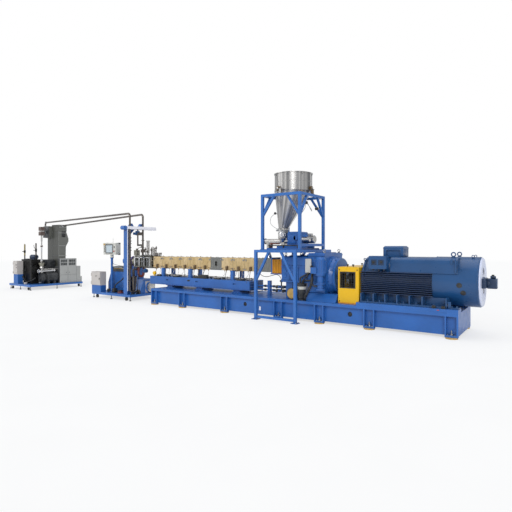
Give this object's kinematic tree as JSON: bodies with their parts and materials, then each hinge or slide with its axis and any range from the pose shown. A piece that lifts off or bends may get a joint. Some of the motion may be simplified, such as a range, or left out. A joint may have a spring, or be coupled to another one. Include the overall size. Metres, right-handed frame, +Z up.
{
  "type": "twin-screw plastic extruder line",
  "caption": "Twin-screw plastic extruder line: motor, gearbox and barrel on a blue base frame, pellet hopper above, underwater pelletiser and pellet dryer at the end.",
  "frame": {"origin": "on the floor, at the middle of the base frame's plan", "axes": "+X along the screw axis from the die towards the motor, +Y away from the operator's side, +Z up"},
  "size_m": [16.82, 2.392, 3.375],
  "materials": {
    "frame_blue": "satin blue machine paint",
    "frame_light": "satin lighter blue paint on tube frames and skids",
    "motor_blue": "satin darker blue motor paint",
    "cover_gold": "warm tan heater covers with a brushed sheen",
    "barrel_steel": "machined steel with a dull sheen",
    "stainless": "polished stainless sheet",
    "guard_yellow": "gloss safety yellow",
    "lantern_orange": "semi-gloss deep yellow ribbed cover",
    "pad_tan": "tan levelling pads",
    "dark_iron": "near-black painted casting",
    "cabinet_gray": "light gray powder coat",
    "dryer_gray": "gray-green satin paint",
    "panel_white": "white powder coat",
    "tank_dark": "weathered dark stainless sheet",
    "cover_brown": "heat-browned terminal housings",
    "mesh_dark": "dark wire mesh"
  },
  "bodies": {
    "root": {"base_frame": "frame_blue", "levelling_pads": "pad_tan", "barrel_run": "barrel_steel", "barrel_covers": "cover_gold", "heater_terminals": "cover_brown", "support_girder": "frame_blue", "barrel_supports": "frame_blue", "lantern_housing": "frame_blue", "lantern_guard": "lantern_orange", "gearbox_housing": "frame_blue", "gearbox_pedestals": "frame_blue", "coupling_guard": "guard_yellow", "guard_meshes": "mesh_dark", "motor_housing": "motor_blue", "motor_feet": "frame_blue", "motor_casing": "motor_blue", "side_boxes": "motor_blue", "motor_end_cover": "panel_white", "encoder_unit": "motor_blue", "lube_pump": "frame_blue", "oil_set": "dark_iron", "cooling_pipes": "frame_blue", "lower_frame": "frame_light", "upper_frame": "frame_light", "feeder_platform": "frame_blue", "hopper_shell": "stainless", "hopper_lid": "stainless", "feeder_body": "frame_blue", "feeder_trough": "stainless", "feeder_motor": "stainless", "pelletiser_skid": "frame_light", "pelletiser_stands": "dark_iron", "pelletiser_cabinet": "frame_light", "console": "frame_light", "panel_post": "frame_light", "gantry": "frame_light", "supply_drop": "tank_dark", "return_pipes": "stainless", "die_head": "tank_dark", "die_cylinders": "stainless", "cutter_motor": "frame_light", "cutter_carriage": "frame_light", "water_set": "tank_dark", "dryer_skid": "frame_light", "dryer_stands": "dark_iron", "dryer_cabinet": "frame_light", "water_tank": "tank_dark", "tank_cover": "tank_dark", "heater_motor": "dark_iron", "dryer_housing": "dryer_gray", "dryer_tower": "dryer_gray", "circulation_pump": "dark_iron", "pump_piping": "stainless", "overhead_pipes": "tank_dark", "gantry_arm": "panel_white", "dryer_drum": "tank_dark"},
    "coupling": {"drive_coupling": "barrel_steel"},
    "pelletiser_door": {"pelletiser_cabinet_door": "cabinet_gray"},
    "dryer_door": {"dryer_cabinet_door": "cabinet_gray"},
    "panel": {"control_panel": "panel_white"}
  },
  "joints": [
    {"name": "coupling_spin", "type": "hinge", "parent": "root", "child": "coupling", "pos_m": [1.905, 0, 0.975], "axis": [1, 0, 0], "continuous": true},
    {"name": "pelletiser_door_hinge", "type": "hinge", "parent": "root", "child": "pelletiser_door", "pos_m": [-6.939, -0.631, 0.6], "axis": [0, 0, -1], "range_deg": [0, 110]},
    {"name": "dryer_door_hinge", "type": "hinge", "parent": "root", "child": "dryer_door", "pos_m": [-11.939, -0.791, 0.8], "axis": [0, 0, -1], "range_deg": [0, 110]},
    {"name": "panel_swivel", "type": "hinge", "parent": "root", "child": "panel", "pos_m": [-6.26, -0.33, 1.29], "axis": [0, 0, 1], "range_deg": [-60, 60]}
  ]
}
